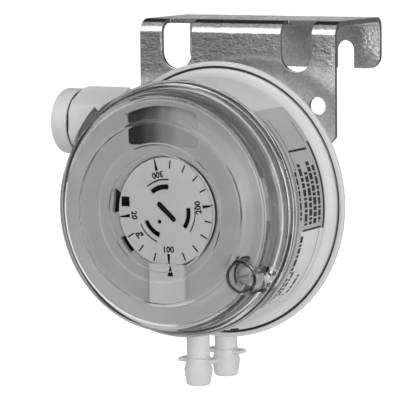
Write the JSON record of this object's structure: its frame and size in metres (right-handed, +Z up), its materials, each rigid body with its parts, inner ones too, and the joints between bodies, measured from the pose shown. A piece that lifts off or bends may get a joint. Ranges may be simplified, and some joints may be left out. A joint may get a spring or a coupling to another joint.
{
  "type": "differential pressure switch",
  "caption": "Round differential pressure switch with a clear cover over a turning pressure dial, a cable gland, hose nipples and a folded wall bracket.",
  "frame": {"origin": "centre of the bracket's rear face, where it meets the wall", "axes": "+Y into the wall, -Y the way the dial faces, +Z up, X across the bracket"},
  "size_m": [0.0904, 0.0832, 0.1093],
  "materials": {
    "galvanised_sheet": "galvanised, mottled",
    "zinc_screw": "zinc plated",
    "bright_steel": "bright",
    "pressed_aluminium": "satin",
    "housing_plastic": "fine satin moulding",
    "inner_plastic": "satin moulding",
    "dial_plastic": "satin with black marks",
    "black_plastic": "satin",
    "clear_plastic": "clear, polished",
    "terminal_brass": "bright",
    "black_rubber": "matt",
    "label_film": "grey film, semi-matt"
  },
  "bodies": {
    "housing": {"mounting_bracket": "galvanised_sheet", "bracket_screw_left": "zinc_screw", "bracket_screw_right": "zinc_screw", "lower_housing": "housing_plastic", "upper_housing": "housing_plastic", "diaphragm": "black_rubber", "setting_spring": "bright_steel", "spindle_ring": "black_rubber", "dial_carrier": "inner_plastic", "switch_body": "black_plastic", "lever_pin": "bright_steel", "terminal_block": "inner_plastic", "terminal_1": "terminal_brass", "terminal_2": "terminal_brass", "terminal_3": "terminal_brass", "terminal_screw_1": "zinc_screw", "terminal_screw_2": "zinc_screw", "terminal_screw_3": "zinc_screw", "switch_lead_1": "terminal_brass", "switch_lead_2": "terminal_brass", "switch_lead_3": "terminal_brass", "cover": "clear_plastic", "cover_gasket": "black_rubber", "cover_screw": "zinc_screw", "gland_body": "housing_plastic", "gland_nut": "housing_plastic", "gland_seal": "black_rubber", "gland_washer": "inner_plastic", "rating_label": "label_film"},
    "dial": {"setting_dial": "dial_plastic", "setting_spindle": "inner_plastic"},
    "seat": {"spring_seat": "inner_plastic"},
    "plate": {"diaphragm_plate": "pressed_aluminium"},
    "lever": {"switch_lever": "bright_steel"},
    "plunger": {"switch_plunger": "inner_plastic"}
  },
  "joints": [
    {"name": "dial_turn", "type": "hinge", "parent": "housing", "child": "dial", "pos_m": [0, -0.0772, -0.0462], "axis": [0, -1, 0], "range_deg": [-191, 85]},
    {"name": "seat_travel", "type": "slide", "parent": "housing", "child": "seat", "axis": [0, 1, 0], "range_m": [-0.00072, 0.0016], "deforming": ["setting_spring"]},
    {"name": "diaphragm_travel", "type": "slide", "parent": "housing", "child": "plate", "axis": [0, -1, 0], "range_m": [0, 0.001], "stiffness_N_per_m": 340, "springref_m": -0.0008, "deforming": ["diaphragm", "setting_spring"]},
    {"name": "lever_tilt", "type": "hinge", "parent": "housing", "child": "lever", "pos_m": [0.028, -0.0624, -0.0462], "axis": [0, 0, 1], "range_deg": [0, 4.8]},
    {"name": "plunger_travel", "type": "slide", "parent": "housing", "child": "plunger", "axis": [0, -1, 0], "range_m": [0, 0.0006]}
  ],
  "couplings": [
    {"joint": "seat_travel", "follows": "dial_turn", "m_per_rad": -0.00047746},
    {"joint": "lever_tilt", "follows": "diaphragm_travel", "rad_per_m": 83.333},
    {"joint": "plunger_travel", "follows": "diaphragm_travel", "ratio": 0.55}
  ]
}
